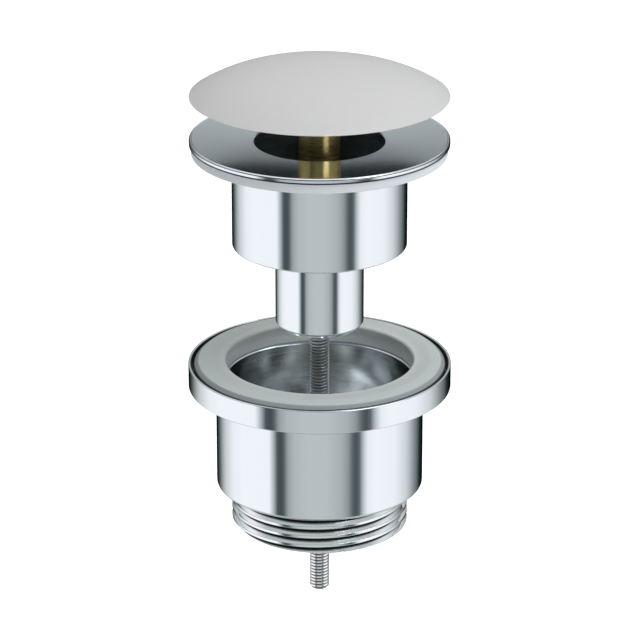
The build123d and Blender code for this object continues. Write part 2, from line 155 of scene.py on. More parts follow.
def rounded(corners, closed=True, guard=0.12 * MM, arc_steps=6):
    """Points of an outline with its corners rounded, with a point kept close to each arc so that
    the shading of the flat beside it stays flat."""
    points = []
    count = len(corners)
    for index, corner in enumerate(corners):
        here = Vector(corner[:2])
        radius = corner[2] if len(corner) > 2 else 0.0
        if not closed and index in (0, count - 1):
            points.append(here)
            continue
        before = Vector(corners[index - 1][:2]) - here
        after = Vector(corners[(index + 1) % count][:2]) - here
        turn = math.pi - before.angle(after)
        if radius == 0.0 or turn < 0.01:
            points.append(here)
            continue
        # Each arc keeps to its own half of the sides beside it
        reach = radius * math.tan(turn / 2)
        reach = min(reach, 0.48 * before.length, 0.48 * after.length)
        radius = reach / math.tan(turn / 2)
        start = here + before.normalized() * reach
        end = here + after.normalized() * reach
        centre = here + (before.normalized() + after.normalized()).normalized() * math.hypot(radius, reach)
        if reach + guard < 0.5 * before.length:
            points.append(start + before.normalized() * guard)
        steps = max(2, round(arc_steps * turn / (math.pi / 2)))
        first = start - centre
        for step in range(steps + 1):
            blend = step / steps
            direction = first.normalized().slerp((end - centre).normalized(), blend)
            points.append(centre + direction * radius)
        if reach + guard < 0.5 * after.length:
            points.append(end + after.normalized() * guard)
    return points


def arc(start, end, radius, steps):
    """Points on an arc from start to end, bulging away from the axis and up, without its first point."""
    start = Vector(start)
    end = Vector(end)
    chord = end - start
    middle = (start + end) / 2
    normal = Vector((-chord.y, chord.x)).normalized()
    height = math.sqrt(radius * radius - (chord.length / 2) ** 2)
    centre = middle - normal * height
    first = (start - centre).normalized()
    last = (end - centre).normalized()
    return [centre + first.slerp(last, step / steps) * radius for step in range(1, steps + 1)]


def bridge(bm, one, other):
    """Faces between two closed rows of equally many points."""
    count = len(one)
    for index in range(count):
        following = (index + 1) % count
        bm.faces.new((one[index], one[following], other[following], other[index]))


def lathe(bm, points, closed=True, columns=COLUMNS):
    """Turns an outline about Z into the mesh. A point on the axis becomes one vertex."""
    rings = []
    for point in points:
        if point[0] < 1e-7:
            rings.append([bm.verts.new((0, 0, point[1]))])
            continue
        ring = []
        for column in range(columns):
            angle = 2 * math.pi * column / columns
            ring.append(bm.verts.new((point[0] * math.cos(angle), point[0] * math.sin(angle), point[1])))
        rings.append(ring)
    pairs = list(zip(rings, rings[1:]))
    if closed:
        pairs.append((rings[-1], rings[0]))
    for one, other in pairs:
        if len(one) > 1 and len(other) > 1:
            bridge(bm, one, other)
            continue
        for column in range(columns):
            following = (column + 1) % columns
            if len(other) > 1:
                bm.faces.new((one[0], other[following], other[column]))
            elif len(one) > 1:
                bm.faces.new((one[column], one[following], other[0]))


def thread_section(pitch, depth, crest_flat, root_flat, rounding):
    """One turn of a thread's outline from root to root, as (height, rise above the root)."""
    flank = (pitch - crest_flat - root_flat) / 2
    corners = [
        (0, 0),
        (root_flat / 2, 0, rounding),
        (root_flat / 2 + flank, depth, rounding),
        (root_flat / 2 + flank + crest_flat, depth, rounding),
        (pitch - root_flat / 2, 0, rounding),
        (pitch, 0),
    ]
    return rounded(corners, closed=False, guard=rounding / 2, arc_steps=5)[:-1]


def helix(bm, root, pitch, first_root, bottom, top, inner, columns, section, limit):
    """A right-hand screw thread cut square at both ends. Its rows follow the helix from a root at
    first_root on the +X side. Past its ends the skin turns in to the inner radius. The limit gives
    the largest radius at a height."""
    turns = int((top - bottom) / pitch) + 4
    rows = []
    for turn_number in range(-2, turns):
        for height, rise in section:
            rows.append((turn_number * pitch + height, rise))
    grid = []
    for column in range(columns):
        angle = 2 * math.pi * column / columns
        heights = [first_root + pitch * column / columns + height for height, rise in rows]
        line = []
        for row, z in enumerate(heights):
            radius = root + rows[row][1]
            for end, step in ((bottom, 1), (top, -1)):
                if (z - end) * step >= 0:
                    continue
                beside = row + step
                crosses = 0 <= beside < len(rows) and (heights[beside] - end) * step >= 0
                radius = inner
                if crosses:
                    share = (end - z) / (heights[beside] - z)
                    radius = root + rows[row][1] + (rows[beside][1] - rows[row][1]) * share
                z = end
                break
            radius = min(radius, limit(z))
            line.append(bm.verts.new((radius * math.cos(angle), radius * math.sin(angle), z)))
        grid.append(line)
    for column in range(columns):
        following = (column + 1) % columns
        shift = len(section) if following == 0 else 0
        for row in range(len(rows) - 1 - shift):
            across = row + shift
            bm.faces.new((
                grid[column][row], grid[following][across],
                grid[following][across + 1], grid[column][row + 1],
            ))
    bmesh.ops.remove_doubles(bm, verts=bm.verts[:], dist=1e-7)


# Faces this close to a limit still take its finish
SLACK = 0.1 * MM


def finish_faces(mesh, finishes, choose):
    """Gives each face the finish that choose returns for its radius, its height, and how far its
    normal points away from the axis and up."""
    mesh.materials.clear()
    for finish in finishes:
        mesh.materials.append(finish)
    for face in mesh.polygons:
        middle = face.center
        radius = math.hypot(middle.x, middle.y)
        outward = (face.normal.x * middle.x + face.normal.y * middle.y) / max(radius, 1e-6)
        face.material_index = finishes.index(choose(radius, middle.z, outward, face.normal.z))


def object_of(name, bm):
    """An object in the scene made of the mesh, which is used up."""
    mesh = bpy.data.meshes.new(name)
    bm.to_mesh(mesh)
    bm.free()
    made = bpy.data.objects.new(name, mesh)
    bpy.context.scene.collection.objects.link(made)
    return made


def new_piece(name, bm, material, body, replaced, sharp=40):
    """Makes an object of the mesh, shades it, and hangs it on its body."""
    bmesh.ops.dissolve_degenerate(bm, dist=1e-8, edges=bm.edges[:])
    bmesh.ops.recalc_face_normals(bm, faces=bm.faces[:])
    piece = object_of(name, bm)
    piece.data.shade_smooth()
    piece.data.set_sharp_from_angle(angle=math.radians(sharp))
    piece.data.materials.append(material)
    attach(piece, body)
    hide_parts(*replaced)
    return piece


def cut_with(bm, cutters):
    """The mesh with each of the cutter meshes taken away."""
    base = object_of("cut_base", bm)
    helpers = []
    for cutter in cutters:
        bmesh.ops.recalc_face_normals(cutter, faces=cutter.faces[:])
        tool = object_of("cutter", cutter)
        modifier = base.modifiers.new("cut", "BOOLEAN")
        modifier.operation = "DIFFERENCE"
        modifier.solver = "EXACT"
        modifier.object = tool
        helpers.append(tool)
    bpy.context.view_layer.update()
    evaluated = base.evaluated_get(bpy.context.evaluated_depsgraph_get())
    result = bmesh.new()
    result.from_mesh(evaluated.to_mesh())
    evaluated.to_mesh_clear()
    for helper in helpers + [base]:
        old = helper.data
        bpy.data.objects.remove(helper)
        bpy.data.meshes.remove(old)
    return result


def prism(points, bottom, top):
    """A closed upright prism on a flat outline."""
    bm = bmesh.new()
    lower = [bm.verts.new((x, y, bottom)) for x, y in points]
    upper = [bm.verts.new((x, y, top)) for x, y in points]
    bm.faces.new(lower[::-1])
    bm.faces.new(upper)
    bridge(bm, lower, upper)
    return bm


# Materials

chrome_tint = (0.785, 0.871, 0.912, 1.0)
tent_strength = 1.1


def srgb(red, green, blue):
    """Colour as it shows in a picture, 0 to 255, turned into the shader's linear values."""
    def linear(value):
        share = value / 255
        return share / 12.92 if share <= 0.04045 else ((share + 0.055) / 1.055) ** 2.4
    return (linear(red), linear(green), linear(blue), 1.0)


class Graph:
    """A node tree with short calls to add and join its nodes."""

    def __init__(self, tree):
        self.tree = tree

    def add(self, kind, **settings):
        node = self.tree.nodes.new(kind)
        for name, value in settings.items():
            setattr(node, name, value)
        return node

    def join(self, source, target):
        self.tree.links.new(source, target)

    def math(self, operation, *inputs, clamp=False):
        node = self.add("ShaderNodeMath", operation=operation, use_clamp=clamp)
        for index, value in enumerate(inputs):
            if isinstance(value, (int, float)):
                node.inputs[index].default_value = value
            else:
                self.join(value, node.inputs[index])
        return node.outputs[0]

    def spread(self, value, low_in, high_in, low_out=0.0, high_out=1.0):
        node = self.add("ShaderNodeMapRange")
        node.inputs["From Min"].default_value = low_in
        node.inputs["From Max"].default_value = high_in
        node.inputs["To Min"].default_value = low_out
        node.inputs["To Max"].default_value = high_out
        self.join(value, node.inputs["Value"])
        return node.outputs["Result"]

    def mix(self, factor, one, other):
        node = self.add("ShaderNodeMix", data_type="RGBA")
        self.join(factor, node.inputs["Factor"])
        for socket, value in ((node.inputs["A"], one), (node.inputs["B"], other)):
            if isinstance(value, tuple):
                socket.default_value = value
            else:
                self.join(value, socket)
        return node.outputs["Result"]


def seen(level):
    """The light that the chrome shows as a grey of this picture level, a little cool, and with less
    green in it where it is bright."""
    less_green = 4 * min(max((level - 200) / 40, 0), 1)
    picture = srgb(max(level - 9 + less_green, 0), level, min(level + 3 + less_green, 255))
    return tuple(picture[index] / chrome_tint[index] / tent_strength for index in range(3)) + (1.0,)


def ramp(graph, value, start, end, levels):
    """A colour ramp of greys, given as (position, picture level) between a start and an end."""
    node = graph.add("ShaderNodeValToRGB")
    stops = node.color_ramp.elements
    for index in (0, 1):
        stops[index].position = float(index)
        stops[index].color = seen(levels[-index][1])
    for position, level in levels[1:-1]:
        stops.new((position - start) / (end - start)).color = seen(level)
    graph.join(value, node.inputs["Fac"])
    return node.outputs["Color"]


def effect_group(name, inputs, outputs):
    """An empty shader group with number inputs, given with their values, and number outputs."""
    tree = bpy.data.node_groups.new(name, "ShaderNodeTree")
    for label, value in inputs.items():
        socket = tree.interface.new_socket(label, in_out="INPUT", socket_type="NodeSocketFloat")
        socket.default_value = value
    for label in outputs:
        tree.interface.new_socket(label, in_out="OUTPUT", socket_type="NodeSocketFloat")
    graph = Graph(tree)
    start = graph.add("NodeGroupInput")
    end = graph.add("NodeGroupOutput")
    return graph, start, end


def noise(graph, place, detail):
    """Noise at a place, with a scale of 1 unless another is joined to it."""
    node = graph.add("ShaderNodeTexNoise")
    graph.join(place, node.inputs["Vector"])
    node.inputs["Scale"].default_value = 1.0
    node.inputs["Detail"].default_value = detail
    return node


def object_axes(graph):
    """The shaded point's place on the object, split by axis."""
    parts = graph.add("ShaderNodeSeparateXYZ")
    graph.join(graph.add("ShaderNodeTexCoord").outputs["Object"], parts.inputs[0])
    return parts.outputs


def make_fine_grain():
    """Even fine grain: a mask and a height from two sizes of noise."""
    graph, start, end = effect_group("fine_grain", {"Scale": 900.0, "Coarse": 0.12}, ["Mask", "Height"])
    place = graph.add("ShaderNodeTexCoord").outputs["Object"]
    fine = noise(graph, place, 4.0)
    graph.join(start.outputs["Scale"], fine.inputs["Scale"])
    coarse = noise(graph, place, 3.0)
    coarse_scale = graph.math("MULTIPLY", start.outputs["Scale"], start.outputs["Coarse"])
    graph.join(coarse_scale, coarse.inputs["Scale"])
    graph.join(coarse.outputs["Fac"], end.inputs["Mask"])
    graph.join(graph.math("ADD", fine.outputs["Fac"], coarse.outputs["Fac"]), end.inputs["Height"])
    return graph.tree


def make_turned_rings():
    """Rings left by a lathe tool about Z: a mask and a height from noise stretched round the axis."""
    graph, start, end = effect_group("turned_rings", {"Fineness": 6000.0}, ["Mask", "Height"])
    wander = 0.25
    axes = object_axes(graph)
    angle = graph.math("ARCTAN2", axes["Y"], axes["X"])
    line = graph.add("ShaderNodeCombineXYZ")
    graph.join(graph.math("MULTIPLY", graph.math("SINE", angle), wander), line.inputs["X"])
    graph.join(graph.math("MULTIPLY", graph.math("COSINE", angle), wander), line.inputs["Y"])
    graph.join(graph.math("MULTIPLY", axes["Z"], start.outputs["Fineness"]), line.inputs["Z"])
    rings = noise(graph, line.outputs[0], 3.0)
    graph.join(graph.spread(rings.outputs["Fac"], 0.3, 0.7), end.inputs["Mask"])
    graph.join(rings.outputs["Fac"], end.inputs["Height"])
    return graph.tree


def axis_distance(graph):
    """The distance of the shaded point from the Z axis."""
    axes = object_axes(graph)
    squares = graph.math(
        "ADD", graph.math("MULTIPLY", axes["X"], axes["X"]), graph.math("MULTIPLY", axes["Y"], axes["Y"])
    )
    return graph.math("SQRT", squares)


def make_radial_mask():
    """0 at the inner radius and 1 at the outer radius, measured from the Z axis."""
    graph, start, end = effect_group("radial_mask", {"Inner": 0.0, "Outer": 1.0}, ["Mask"])
    share = graph.math(
        "DIVIDE",
        graph.math("SUBTRACT", axis_distance(graph), start.outputs["Inner"]),
        graph.math("SUBTRACT", start.outputs["Outer"], start.outputs["Inner"]),
        clamp=True,
    )
    graph.join(share, end.inputs["Mask"])
    return graph.tree


def make_face_rings():
    """Fine rings round the axis on a face that lies across it, as a mask from noise along the radius."""
    graph, start, end = effect_group("face_rings", {"Fineness": 9000.0}, ["Mask"])
    line = graph.add("ShaderNodeCombineXYZ")
    graph.join(graph.math("MULTIPLY", axis_distance(graph), start.outputs["Fineness"]), line.inputs["X"])
    rings = noise(graph, line.outputs[0], 2.0)
    graph.join(graph.spread(rings.outputs["Fac"], 0.3, 0.7), end.inputs["Mask"])
    return graph.tree


fine_grain = make_fine_grain()
turned_rings = make_turned_rings()
radial_mask = make_radial_mask()
face_rings = make_face_rings()


def material(name, color, roughness, metallic=0.0, specular=0.5):
    """A named Principled material. Returns it with its graph and its shader."""
    made = bpy.data.materials.new(name)
    made.use_nodes = True
    graph = Graph(made.node_tree)
    shader = made.node_tree.nodes["Principled BSDF"]
    shader.inputs["Base Color"].default_value = color
    shader.inputs["Roughness"].default_value = roughness
    shader.inputs["Metallic"].default_value = metallic
    shader.inputs["IOR"].default_value = 1.5
    shader.inputs["Specular IOR Level"].default_value = specular
    return made, graph, shader


def place_group(graph, tree, **values):
    """An effect placed in a material with its own values."""
    node = graph.add("ShaderNodeGroup", node_tree=tree)
    for label, value in values.items():
        node.inputs[label].default_value = value
    return node


def ring_mask(graph, inner, outer):
    """A mask that rises from 0 to 1 between two radii."""
    return place_group(graph, radial_mask, Inner=inner, Outer=outer).outputs["Mask"]


def tint(graph, shader, mask, one, other):
    """Colour that follows a mask from one tone to the other."""
    graph.join(graph.mix(mask, one, other), shader.inputs["Base Color"])


def gloss(graph, shader, mask, one, other, start=0.0, end=1.0):
    """Roughness that follows a mask from one value to the other."""
    graph.join(graph.spread(mask, start, end, one, other), shader.inputs["Roughness"])


def bump(graph, shader, height, strength, distance):
    """Fine relief of a given depth from a height that changes over the surface."""
    node = graph.add("ShaderNodeBump")
    node.inputs["Strength"].default_value = strength
    node.inputs["Distance"].default_value = distance
    graph.join(height, node.inputs["Height"])
    graph.join(node.outputs["Normal"], shader.inputs["Normal"])


def polished_chrome():
    """Chrome plate: near mirror, with faint wiping marks in its gloss."""
    made, graph, shader = material("polished_chrome", chrome_tint, 0.05, metallic=1.0)
    grain = place_group(graph, fine_grain, Scale=240.0, Coarse=0.2)
    gloss(graph, shader, grain.outputs["Mask"], 0.035, 0.065, start=0.3, end=0.7)
    return made


def spun_dish():
    """The plated dish, softened by the fine rings of spinning and by many wipes."""
    made, graph, shader = material("spun_dish", chrome_tint, 0.12, metallic=1.0)
    rings = place_group(graph, face_rings, Fineness=9000.0)
    gloss(graph, shader, rings.outputs["Mask"], 0.10, 0.14)
    bump(graph, shader, rings.outputs["Mask"], 0.05, 0.004 * MM)
    return made


def dull_plate(name, darker, lighter):
    """Plating in the bores and in the rim's fine lines: soft, as where no buff reaches, and dark, which is
    painted shade for the shade that falls there.
    """
    made, graph, shader = material(name, lighter, 0.4, metallic=1.0)
    rings = place_group(graph, turned_rings, Fineness=2500.0)
    tint(graph, shader, rings.outputs["Mask"], darker, lighter)
    gloss(graph, shader, rings.outputs["Mask"], 0.34, 0.46)
    return made


def satin_cup():
    """The cup's bore, turned and plated: a hazy mirror."""
    made, graph, shader = material("satin_cup", (0.70, 0.74, 0.75, 1.0), 0.14, metallic=1.0)
    rings = place_group(graph, turned_rings, Fineness=2500.0)
    tint(graph, shader, rings.outputs["Mask"], (0.66, 0.70, 0.71, 1.0), (0.74, 0.78, 0.79, 1.0))
    gloss(graph, shader, rings.outputs["Mask"], 0.11, 0.17)
    return made


def threaded_plate():
    """The plated outlet thread: bright crests, and dark roots that are painted shade for the shadow in the
    grooves.
    """
    crest = (0.88, 0.93, 0.95, 1.0)
    # Painted shade: this dark root tone stands in for the shadow deep in the thread's grooves.
    root = (0.03, 0.035, 0.036, 1.0)
    made, graph, shader = material("threaded_plate", crest, 0.08, metallic=1.0)
    flank = ring_mask(graph, thread_root_radius + 0.15 * MM, thread_root_radius + 0.58 * MM)
    tint(graph, shader, flank, root, crest)
    gloss(graph, shader, flank, 0.5, 0.07)
    return made


def satin_cap():
    """Even light grey with a fine powdery surface."""
    made, graph, shader = material("satin_cap", srgb(219, 221, 221), 0.5, specular=0.35)
    grain = place_group(graph, fine_grain, Scale=5200.0, Coarse=0.1)
    tint(graph, shader, grain.outputs["Mask"], srgb(217, 219, 219), srgb(221, 223, 223))
    gloss(graph, shader, grain.outputs["Mask"], 0.46, 0.54, start=0.2, end=0.8)
    bump(graph, shader, grain.outputs["Height"], 0.08, 0.02 * MM)
    return made


def turned_brass():
    """Bare turned brass with the tool's rings, which draw its highlights out along the axis."""
    made, graph, shader = material("turned_brass", (0.78, 0.65, 0.30, 1.0), 0.16, metallic=1.0)
    rings = place_group(graph, turned_rings, Fineness=7000.0)
    tint(graph, shader, rings.outputs["Mask"], (0.80, 0.62, 0.24, 1.0), (0.92, 0.76, 0.34, 1.0))
    gloss(graph, shader, rings.outputs["Mask"], 0.24, 0.34)
    bump(graph, shader, rings.outputs["Height"], 0.15, 0.02 * MM)
    round_axis = graph.add("ShaderNodeTangent", direction_type="RADIAL", axis="Z")
    graph.join(round_axis.outputs["Tangent"], shader.inputs["Tangent"])
    shader.inputs["Anisotropic"].default_value = 0.9
    shader.inputs["Anisotropic Rotation"].default_value = 0.25
    return made


def threaded_steel():
    """Bright rolled steel thread whose dark roots are painted shade."""
    made, graph, shader = material("threaded_steel", (0.82, 0.88, 0.91, 1.0), 0.1, metallic=1.0)
    flank = ring_mask(graph, bolt_radius - bolt_thread_depth, bolt_radius - 0.05 * MM)
    # Painted shade: the dark tone at the roots stands in for the shadow in the grooves.
    tint(graph, shader, flank, (0.06, 0.07, 0.075, 1.0), (0.90, 0.94, 0.95, 1.0))
    gloss(graph, shader, flank, 0.45, 0.10)
    return made


def seal_painted_light_and_shade():
    """Grey moulded rubber with painted light and shade: a paler inner lip and wall as painted light, a
    darker outer bevel as painted shade, and a nearly black painted shadow in the gap beside the ring."""
    made, graph, shader = material("seal_painted_light_and_shade", srgb(206, 214, 213), 0.6, specular=0.3)
    grain = place_group(graph, fine_grain, Scale=2600.0, Coarse=0.08)
    crown = graph.mix(grain.outputs["Mask"], srgb(202, 213, 210), srgb(210, 220, 217))
    # Painted light: the inner lip and wall are made paler, as if lit.
    past_lip = ring_mask(graph, seal_inner_radius + 0.7 * MM, seal_inner_radius + 2.4 * MM)
    tone = graph.mix(past_lip, srgb(218, 225, 224), crown)
    # Painted shade: the outer bevel is darkened.
    on_bevel = ring_mask(graph, seal_outer_radius - 1.2 * MM, seal_outer_radius - 0.85 * MM)
    tone = graph.mix(on_bevel, tone, srgb(156, 166, 167))
    # Painted shadow: the gap beside the ring is made nearly black.
    in_gap = ring_mask(graph, seal_outer_radius - 0.24 * MM, seal_outer_radius - 0.16 * MM)
    tint(graph, shader, in_gap, tone, srgb(70, 77, 80))
    gloss(graph, shader, grain.outputs["Mask"], 0.54, 0.66, start=0.2, end=0.8)
    bump(graph, shader, grain.outputs["Height"], 0.15, 0.03 * MM)
    return made


def rubber(name, color, darker, roughness, grain_scale=2600.0):
    """Moulded rubber or foam: matt, with a fine even skin."""
    made, graph, shader = material(name, color, roughness, specular=0.3)
    grain = place_group(graph, fine_grain, Scale=grain_scale, Coarse=0.08)
    tint(graph, shader, grain.outputs["Mask"], darker, color)
    gloss(graph, shader, grain.outputs["Mask"], roughness - 0.06, roughness + 0.06, start=0.2, end=0.8)
    bump(graph, shader, grain.outputs["Height"], 0.15, 0.03 * MM)
    return made


def moulded_plastic(name, color, darker):
    """Injection-moulded acetal with a faint spark-eroded grain."""
    made, graph, shader = material(name, color, 0.42, specular=0.45)
    grain = place_group(graph, fine_grain, Scale=3400.0, Coarse=0.1)
    tint(graph, shader, grain.outputs["Mask"], darker, color)
    gloss(graph, shader, grain.outputs["Mask"], 0.36, 0.48, start=0.2, end=0.8)
    bump(graph, shader, grain.outputs["Height"], 0.12, 0.02 * MM)
    return made


def drawn_wire():
    """Bright drawn spring wire."""
    made, graph, shader = material("drawn_wire", (0.60, 0.61, 0.62, 1.0), 0.28, metallic=1.0)
    grain = place_group(graph, fine_grain, Scale=2000.0, Coarse=0.3)
    gloss(graph, shader, grain.outputs["Mask"], 0.22, 0.36, start=0.3, end=0.7)
    return made


chrome = polished_chrome()
dish_plate = spun_dish()
# Painted shade: the bores' dark tone stands in for the dim light inside them.
shaded_bore_metal = dull_plate("bore_painted_shade", (0.28, 0.32, 0.33, 1.0), (0.35, 0.39, 0.40, 1.0))
# Painted shadow: a near black plate for the shadow under the flange's lip and in its fine line.
shadow_line_metal = dull_plate("painted_shadow_line", (0.04, 0.045, 0.05, 1.0), (0.06, 0.066, 0.07, 1.0))
cup_metal = satin_cup()
thread_plate = threaded_plate()
cap_paint = satin_cap()
brass = turned_brass()
steel = threaded_steel()
gasket_foam = rubber("gasket_foam", srgb(237, 243, 247), srgb(231, 238, 242), 0.72)
seal_rubber = seal_painted_light_and_shade()
black_rubber = rubber("black_rubber", srgb(38, 38, 38), srgb(30, 30, 30), 0.6)
red_fibre = rubber("red_fibre", srgb(150, 72, 48), srgb(120, 56, 38), 0.8, grain_scale=1200.0)
white_acetal = moulded_plastic("white_acetal", srgb(232, 232, 228), srgb(222, 222, 218))
grey_acetal = moulded_plastic("grey_acetal", srgb(122, 126, 128), srgb(108, 112, 114))
black_acetal = moulded_plastic("black_acetal", srgb(36, 39, 41), srgb(30, 33, 35))
# Painted shade: the dark grey on the dome's underside stands in for the shade under the cap.
cap_underside_shade = rubber("cap_underside_shade", srgb(40, 43, 45), srgb(34, 37, 39), 0.8)
spring_wire = drawn_wire()

cad_finish = {
    "cap_carrier": black_acetal,
    "cap_insert": brass,
    "cap_seal": black_rubber,
    "rod_o_ring": black_rubber,
    "cartridge_housing": grey_acetal,
    "cam_pusher": white_acetal,
    "cam_rotor": white_acetal,
    "cartridge_end_cap": grey_acetal,
    "cartridge_seal": black_rubber,
    "sleeve_washer": red_fibre,
    "sleeve_nut": brass,
    "bolt_washer": spring_wire,
    "bolt_o_ring": black_rubber,
    "bolt_bush": brass,
}
for node, finish in cad_finish.items():
    for material_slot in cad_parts[node].material_slots:
        material_slot.material = finish


# Pieces

def make_cap():
    """The thin dome: a wide crown, a tighter shoulder, and a narrow rim."""
    metal = 1.0 * MM
    crown_curve = 80 * MM
    shoulder_radius = 17 * MM
    crown_steps = 18
    shoulder_steps = 16
    rim_round = 0.12 * MM
    inner_edge = cap_radius - 1.5 * metal

    def dome(apex, curve, edge_radius, edge_height):
        start_angle = math.asin(shoulder_radius / crown_curve)
        shoulder = Vector((curve * math.sin(start_angle), apex - curve * (1 - math.cos(start_angle))))
        points = [Vector((0, apex))]
        for step in range(1, crown_steps + 1):
            angle = start_angle * step / crown_steps
            points.append(Vector((curve * math.sin(angle), apex - curve * (1 - math.cos(angle)))))
        chord = Vector((edge_radius, edge_height)) - shoulder
        tangent = Vector((math.cos(start_angle), -math.sin(start_angle)))
        radius = chord.length / (2 * math.sin(tangent.angle(chord)))
        points += arc(shoulder, (edge_radius, edge_height), radius, shoulder_steps)
        return points

    outer = dome(cap_apex, crown_curve, cap_radius, cap_rim + rim_round)
    inner = dome(cap_apex - metal, crown_curve - metal, inner_edge, cap_rim + rim_round)
    rim = [
        Vector((cap_radius - 0.3 * rim_round, cap_rim + 0.3 * rim_round)),
        Vector((cap_radius - 1.3 * rim_round, cap_rim)),
        Vector((inner_edge + 1.3 * rim_round, cap_rim)),
    ]
    bm = bmesh.new()
    lathe(bm, outer + rim + inner[::-1], closed=False)
    piece = new_piece("cap", bm, cap_paint, "plug", ["cap_cover"], sharp=60)

    # The underside of the dome takes the dark finish, painted shade.
    def inside(radius, height, outward, upward):
        return cap_underside_shade if upward < -0.3 and radius < inner_edge else cap_paint

    finish_faces(piece.data, [cap_paint, cap_underside_shade], inside)


def make_rod():
    """Brass rod with its stop head and screwed spigot."""
    corners = [
        (0, rod_head_bottom),
        (rod_head_radius, rod_head_bottom, 0.3 * MM),
        (rod_head_radius, rod_head_top, 0.2 * MM),
        (rod_radius, rod_head_top, 0.1 * MM),
        (rod_radius, insert_bottom, 0.3 * MM),
        (rod_spigot_radius, insert_bottom, 0.1 * MM),
        (rod_spigot_radius, rod_top, 0.4 * MM),
        (0, rod_top),
    ]
    bm = bmesh.new()
    lathe(bm, rounded(corners, closed=False), closed=False, columns=96)
    new_piece("rod", bm, brass, "plug", ["push_rod"])


def make_spring():
    """Return spring between the end cap and the rotor, which in the waste shortens as the cap is pressed;
    here it is made at one length.
    """
    bottom = low("return_spring").z
    top = high("return_spring").z
    half_wire = spring_wire_size / 2
    steps = 264
    sides = 12
    around = [2 * math.pi * side / sides for side in range(sides)]
    bm = bmesh.new()
    loops = []
    for step in range(steps + 1):
        turn = 2 * math.pi * spring_turns * step / steps
        outward = Vector((math.cos(turn), math.sin(turn), 0))
        height = bottom + half_wire + (top - bottom - spring_wire_size) * step / steps
        centre = outward * spring_radius + Vector((0, 0, height))
        loops.append([
            bm.verts.new(centre + (outward * math.cos(angle) + Vector((0, 0, math.sin(angle)))) * half_wire)
            for angle in around
        ])
    for one, other in zip(loops, loops[1:]):
        bridge(bm, one, other)
    bm.faces.new(loops[0])
    bm.faces.new(loops[-1][::-1])
    piece = new_piece("spring", bm, spring_wire, "waste", ["return_spring"], sharp=60)
    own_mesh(piece)


def make_upper_body():
    """Dished flange whose rim has a thin lip over the gasket, a fine line round it and a bevel, the
    collar, and the floor with its drain windows."""
    rim_edge = flange_radius
    lip_inside = rim_edge - 0.38 * MM
    rim_lip = gasket_edge - 0.23 * MM
    rim_foot = gasket_edge + 0.15 * MM
    rim_line = gasket_edge + 0.8 * MM
    line_half = 0.1 * MM
    spigot_hole = sleeve_spigot_radius + 0.05 * MM
    hole_bottom = hole_edge - waste_hole_length
    corners = [
        (waste_hole_radius, hole_edge, 0.35 * MM),
        (waste_hole_radius, hole_bottom, 0.3 * MM),
        (collar_bore_radius, hole_bottom, 0.6 * MM),
        (collar_bore_radius, floor_top, 0.6 * MM),
        (spigot_hole, floor_top, 0.2 * MM),
        (spigot_hole, collar_bottom, 0.2 * MM),
        (collar_radius, collar_bottom, 0.4 * MM),
        (collar_radius, 0, 0.1 * MM),
        (collar_locating_radius, 0, 0.1 * MM),
        (collar_locating_radius, plate_underside, 0.1 * MM),
        (gasket_radius - 1.6 * MM, plate_underside, 0.2 * MM),
        (gasket_radius - 0.65 * MM, gasket_edge, 0.1 * MM),
        (lip_inside, gasket_edge, 0.02 * MM),
        (lip_inside, rim_lip, 0.03 * MM),
        (rim_edge - 0.02 * MM, rim_lip, 0.06 * MM),
        (rim_edge, rim_foot, 0.04 * MM),
        (rim_edge, rim_line - line_half, 0.03 * MM),
        (rim_edge - 0.15 * MM, rim_line, 0.02 * MM),
        (rim_edge - 0.02 * MM, rim_line + line_half, 0.04 * MM),
        (rim_edge - 0.3 * MM, rim_top, 0.05 * MM),
        (rim_edge - 0.5 * MM, rim_top, 0.05 * MM),
        (rim_edge - 0.65 * MM, dish_top, 0.05 * MM),
    ]
    bm = bmesh.new()
    lathe(bm, rounded(corners, guard=0.08 * MM))
    cutters = []
    past_floor = 1 * MM
    half_arc_steps = 6
    half = math.pi / window_count
    for window in range(window_count):
        middle = 2 * math.pi * window / window_count
        edge_points = []
        for radius, order in ((window_outer_radius, 1), (window_inner_radius, -1)):
            reach = half - math.asin(window_spoke_width / 2 / radius)
            for step in range(2 * half_arc_steps + 1):
                angle = middle + order * reach * (step / half_arc_steps - 1)
                edge_points.append((radius * math.cos(angle), radius * math.sin(angle)))
        cutters.append(prism(edge_points, collar_bottom - past_floor, floor_top + past_floor))
    bm = cut_with(bm, cutters)
    piece = new_piece("upper_shell", bm, chrome, "waste", ["upper_body"], sharp=35)

    def finish(radius, height, outward, upward):
        in_flange = height > plate_underside
        if upward > 0.9 and waste_hole_radius < radius < rim_edge - 0.7 * MM and in_flange:
            return dish_plate
        # Painted shadow: the rim's fine line and the lip's edge over the gasket take the near black finish.
        in_line = abs(height - rim_line) < 0.08 * MM or height < rim_foot - 0.02 * MM
        if in_line and radius > rim_edge - 0.25 * MM and in_flange and abs(upward) < 0.98:
            return shadow_line_metal
        # The collar's bore takes the dark finish, painted shade for its dim inside.
        in_height = collar_bottom + SLACK < height < hole_edge - 0.2 * MM
        in_bore = in_height and radius < collar_bore_radius + SLACK and outward < 0.3
        return shaded_bore_metal if in_bore else chrome

    finish_faces(piece.data, [chrome, dish_plate, shaded_bore_metal, shadow_line_metal], finish)


def make_gasket():
    """Pale gasket: thin under the flange, with a thicker rounded edge."""
    hole = collar_locating_radius + 0.05 * MM
    corners = [
        (hole, 0, 0.1 * MM),
        (gasket_radius, 0, 0.35 * MM),
        (gasket_radius, gasket_edge, 0.25 * MM),
        (gasket_radius - 0.6 * MM, gasket_edge, 0.1 * MM),
        (gasket_radius - 1.55 * MM, plate_underside, 0.1 * MM),
        (hole, plate_underside, 0.1 * MM),
    ]
    bm = bmesh.new()
    lathe(bm, rounded(corners))
    new_piece("gasket", bm, gasket_foam, "waste", ["flange_gasket"])


